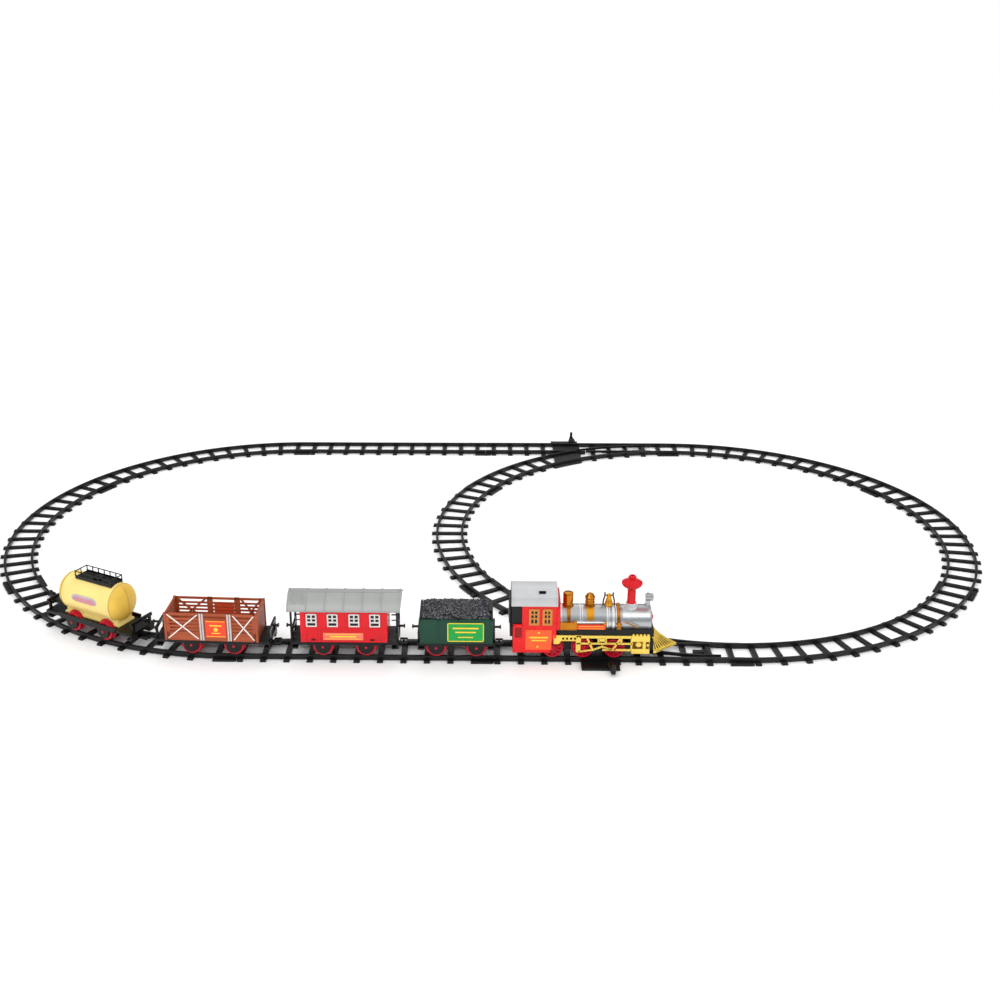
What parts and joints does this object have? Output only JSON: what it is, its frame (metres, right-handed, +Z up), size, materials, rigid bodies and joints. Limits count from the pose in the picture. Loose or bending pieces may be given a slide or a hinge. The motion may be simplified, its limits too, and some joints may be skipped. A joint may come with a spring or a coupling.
{
  "type": "model train set",
  "caption": "Toy steam engine, tender, coach, open wagon and tank car coupled on an oval plastic track with an inner loop and hand-thrown switches.",
  "frame": {"origin": "centre of the track layout, on the floor", "axes": "+X along the near straight, the way the train runs; +Y away from it; +Z up"},
  "size_m": [1.3526, 0.8092, 0.1028],
  "materials": {
    "track_black": "satin moulded",
    "chassis_black": "satin moulded",
    "wheel_red": "gloss moulded",
    "boiler_silver": "metallised plastic",
    "cab_red": "gloss moulded",
    "roof_silver": "metallised plastic",
    "copper": "vacuum plated",
    "gold": "vacuum plated",
    "chimney_red": "gloss moulded",
    "motor_steel": "plated",
    "battery_case": "printed sleeve",
    "gear_white": "moulded",
    "tender_green": "gloss moulded",
    "coal": "rough moulded",
    "window_grey": "moulded",
    "wagon_brown": "satin moulded",
    "tank_yellow": "satin moulded"
  },
  "bodies": {
    "track": {"curve_left_1": "track_black", "curve_left_2": "track_black", "curve_left_3": "track_black", "curve_right_1": "track_black", "curve_right_2": "track_black", "curve_right_3": "track_black", "curve_inner": "track_black", "straight_back": "track_black", "straight_front": "track_black", "switch_back_base": "track_black", "switch_front_base": "track_black"},
    "switch_back_blades": {"switch_back_blades": "track_black"},
    "switch_back_lever": {"switch_back_lever": "track_black"},
    "switch_front_blades": {"switch_front_blades": "track_black"},
    "switch_front_lever": {"switch_front_lever": "track_black"},
    "engine": {"engine_chassis": "chassis_black", "boiler_shell": "boiler_silver", "smokebox_door": "chimney_red", "cab_body": "cab_red", "cab_roof": "roof_silver", "cab_windows": "copper", "running_boards": "copper", "chimney": "chimney_red", "sand_dome": "copper", "steam_dome": "copper", "bell": "copper", "headlamp": "boiler_silver", "side_frames": "gold", "cowcatcher": "gold", "drive_motor": "motor_steel", "batteries": "battery_case"},
    "power_switch": {"power_switch": "chassis_black"},
    "motor_pinion": {"motor_pinion": "gear_white"},
    "tender": {"tender_chassis": "chassis_black", "tender_body": "tender_green", "coal_load": "coal"},
    "coach": {"coach_chassis": "chassis_black", "coach_body": "cab_red", "coach_windows": "window_grey", "coach_roof": "roof_silver"},
    "wagon": {"wagon_chassis": "chassis_black", "wagon_body": "wagon_brown"},
    "tank": {"tank_chassis": "chassis_black", "tank_shell": "tank_yellow", "tank_walkway": "chassis_black"},
    "engine_wheelset_1": {"engine_wheelset_1": "wheel_red"},
    "engine_wheelset_2": {"engine_wheelset_2": "wheel_red"},
    "engine_wheelset_3": {"engine_wheelset_3": "wheel_red"},
    "tender_wheelset_front": {"tender_wheelset_front": "wheel_red"},
    "tender_wheelset_rear": {"tender_wheelset_rear": "wheel_red"},
    "coach_wheelset_front": {"coach_wheelset_front": "wheel_red"},
    "coach_wheelset_rear": {"coach_wheelset_rear": "wheel_red"},
    "wagon_wheelset_front": {"wagon_wheelset_front": "wheel_red"},
    "wagon_wheelset_rear": {"wagon_wheelset_rear": "wheel_red"},
    "tank_wheelset_front": {"tank_wheelset_front": "wheel_red"},
    "tank_wheelset_rear": {"tank_wheelset_rear": "wheel_red"},
    "link_tender": {"link_tender": "chassis_black"},
    "link_coach": {"link_coach": "chassis_black"},
    "link_wagon": {"link_wagon": "chassis_black"},
    "link_tank": {"link_tank": "chassis_black"}
  },
  "joints": [
    {"name": "train_run", "type": "slide", "parent": "track", "child": "engine", "axis": [1, 0, 0], "range_m": [-0.02, 0.02]},
    {"name": "tender_run", "type": "slide", "parent": "track", "child": "tender", "axis": [1, 0, 0], "range_m": [-0.02, 0.02]},
    {"name": "coach_run", "type": "slide", "parent": "track", "child": "coach", "axis": [1, 0, 0], "range_m": [-0.02, 0.02]},
    {"name": "wagon_run", "type": "hinge", "parent": "track", "child": "wagon", "pos_m": [-0.2914, 0.0724, 0], "axis": [0, 0, 1], "range_deg": [-2.76, 2.76]},
    {"name": "tank_run", "type": "hinge", "parent": "track", "child": "tank", "pos_m": [-0.3, 0, 0], "axis": [0, 0, 1], "range_deg": [-3.31, 3.31]},
    {"name": "engine_axle_1", "type": "hinge", "parent": "engine", "child": "engine_wheelset_1", "pos_m": [0.077, -0.351, 0.019], "axis": [0, 1, 0], "range_deg": [-96.5, 96.5]},
    {"name": "engine_axle_2", "type": "hinge", "parent": "engine", "child": "engine_wheelset_2", "pos_m": [0.112, -0.351, 0.019], "axis": [0, 1, 0], "range_deg": [-96.5, 96.5]},
    {"name": "engine_axle_3", "type": "hinge", "parent": "engine", "child": "engine_wheelset_3", "pos_m": [0.148, -0.351, 0.019], "axis": [0, 1, 0], "range_deg": [-96.5, 96.5]},
    {"name": "tender_axle_front", "type": "hinge", "parent": "tender", "child": "tender_wheelset_front", "pos_m": [-0.0108, -0.351, 0.019], "axis": [0, 1, 0], "range_deg": [-96.5, 96.5]},
    {"name": "tender_axle_rear", "type": "hinge", "parent": "tender", "child": "tender_wheelset_rear", "pos_m": [-0.0572, -0.351, 0.019], "axis": [0, 1, 0], "range_deg": [-96.5, 96.5]},
    {"name": "coach_axle_front", "type": "hinge", "parent": "coach", "child": "coach_wheelset_front", "pos_m": [-0.1385, -0.351, 0.019], "axis": [0, 1, 0], "range_deg": [-96.5, 96.5]},
    {"name": "coach_axle_rear", "type": "hinge", "parent": "coach", "child": "coach_wheelset_rear", "pos_m": [-0.1885, -0.351, 0.019], "axis": [0, 1, 0], "range_deg": [-96.5, 96.5]},
    {"name": "wagon_axle_front", "type": "hinge", "parent": "wagon", "child": "wagon_wheelset_front", "pos_m": [-0.2914, -0.351, 0.019], "axis": [0.0489, 0.9988, 0], "range_deg": [-96.5, 96.5]},
    {"name": "wagon_axle_rear", "type": "hinge", "parent": "wagon", "child": "wagon_wheelset_rear", "pos_m": [-0.3414, -0.34855, 0.019], "axis": [0.0489, 0.9988, 0], "range_deg": [-96.5, 96.5]},
    {"name": "tank_axle_front", "type": "hinge", "parent": "tank", "child": "tank_wheelset_front", "pos_m": [-0.44397, -0.32011, 0.019], "axis": [0.4741, 0.8805, 0], "range_deg": [-96.5, 96.5]},
    {"name": "tank_axle_rear", "type": "hinge", "parent": "tank", "child": "tank_wheelset_rear", "pos_m": [-0.48799, -0.29641, 0.019], "axis": [0.4741, 0.8805, 0], "range_deg": [-96.5, 96.5]},
    {"name": "pinion_spin", "type": "hinge", "parent": "engine", "child": "motor_pinion", "pos_m": [0.112, -0.351, 0.0309], "axis": [0, 1, 0], "range_deg": [-231.2, 231.2]},
    {"name": "power_slide", "type": "slide", "parent": "engine", "child": "power_switch", "axis": [1, 0, 0], "range_m": [0, 0.004]},
    {"name": "front_lever_turn", "type": "hinge", "parent": "track", "child": "switch_front_lever", "pos_m": [0.145, -0.3846, 0.003], "axis": [0, 0, 1], "range_deg": [0, 31]},
    {"name": "front_blades_turn", "type": "hinge", "parent": "track", "child": "switch_front_blades", "pos_m": [0.17727, -0.339, 0.003], "axis": [0, 0, -1], "range_deg": [0, 3]},
    {"name": "back_lever_turn", "type": "hinge", "parent": "track", "child": "switch_back_lever", "pos_m": [0.145, 0.3846, 0.003], "axis": [0, 0, -1], "range_deg": [0, 31]},
    {"name": "back_blades_turn", "type": "hinge", "parent": "track", "child": "switch_back_blades", "pos_m": [0.17727, 0.339, 0.003], "axis": [0, 0, 1], "range_deg": [0, 3]},
    {"name": "link_tender_lift", "type": "hinge", "parent": "engine", "child": "link_tender", "pos_m": [0.034, -0.351, 0.0163], "axis": [0, 1, 0], "range_deg": [0, 8]},
    {"name": "link_coach_lift", "type": "hinge", "parent": "tender", "child": "link_coach", "pos_m": [-0.0748, -0.351, 0.0163], "axis": [0, 1, 0], "range_deg": [0, 8]},
    {"name": "link_wagon_lift", "type": "hinge", "parent": "coach", "child": "link_wagon", "pos_m": [-0.222, -0.351, 0.0163], "axis": [-0.1086, 0.9941, 0], "range_deg": [0, 8]},
    {"name": "link_tank_lift", "type": "hinge", "parent": "wagon", "child": "link_tank", "pos_m": [-0.38032, -0.34664, 0.0163], "axis": [0.1737, 0.9848, 0], "range_deg": [0, 8]}
  ],
  "couplings": [
    {"joint": "tender_run", "follows": "train_run", "ratio": 1},
    {"joint": "coach_run", "follows": "train_run", "ratio": 1},
    {"joint": "wagon_run", "follows": "train_run", "rad_per_m": 2.3618},
    {"joint": "tank_run", "follows": "train_run", "rad_per_m": 2.849},
    {"joint": "engine_axle_1", "follows": "train_run", "rad_per_m": 83.333},
    {"joint": "engine_axle_2", "follows": "train_run", "rad_per_m": 83.333},
    {"joint": "engine_axle_3", "follows": "train_run", "rad_per_m": 83.333},
    {"joint": "tender_axle_front", "follows": "train_run", "rad_per_m": 83.333},
    {"joint": "tender_axle_rear", "follows": "train_run", "rad_per_m": 83.333},
    {"joint": "coach_axle_front", "follows": "train_run", "rad_per_m": 83.333},
    {"joint": "coach_axle_rear", "follows": "train_run", "rad_per_m": 83.333},
    {"joint": "wagon_axle_front", "follows": "train_run", "rad_per_m": 83.333},
    {"joint": "wagon_axle_rear", "follows": "train_run", "rad_per_m": 83.333},
    {"joint": "tank_axle_front", "follows": "train_run", "rad_per_m": 83.333},
    {"joint": "tank_axle_rear", "follows": "train_run", "rad_per_m": 83.333},
    {"joint": "pinion_spin", "follows": "train_run", "rad_per_m": -200},
    {"joint": "front_lever_turn", "follows": "front_blades_turn", "ratio": 10},
    {"joint": "back_lever_turn", "follows": "back_blades_turn", "ratio": 10}
  ]
}
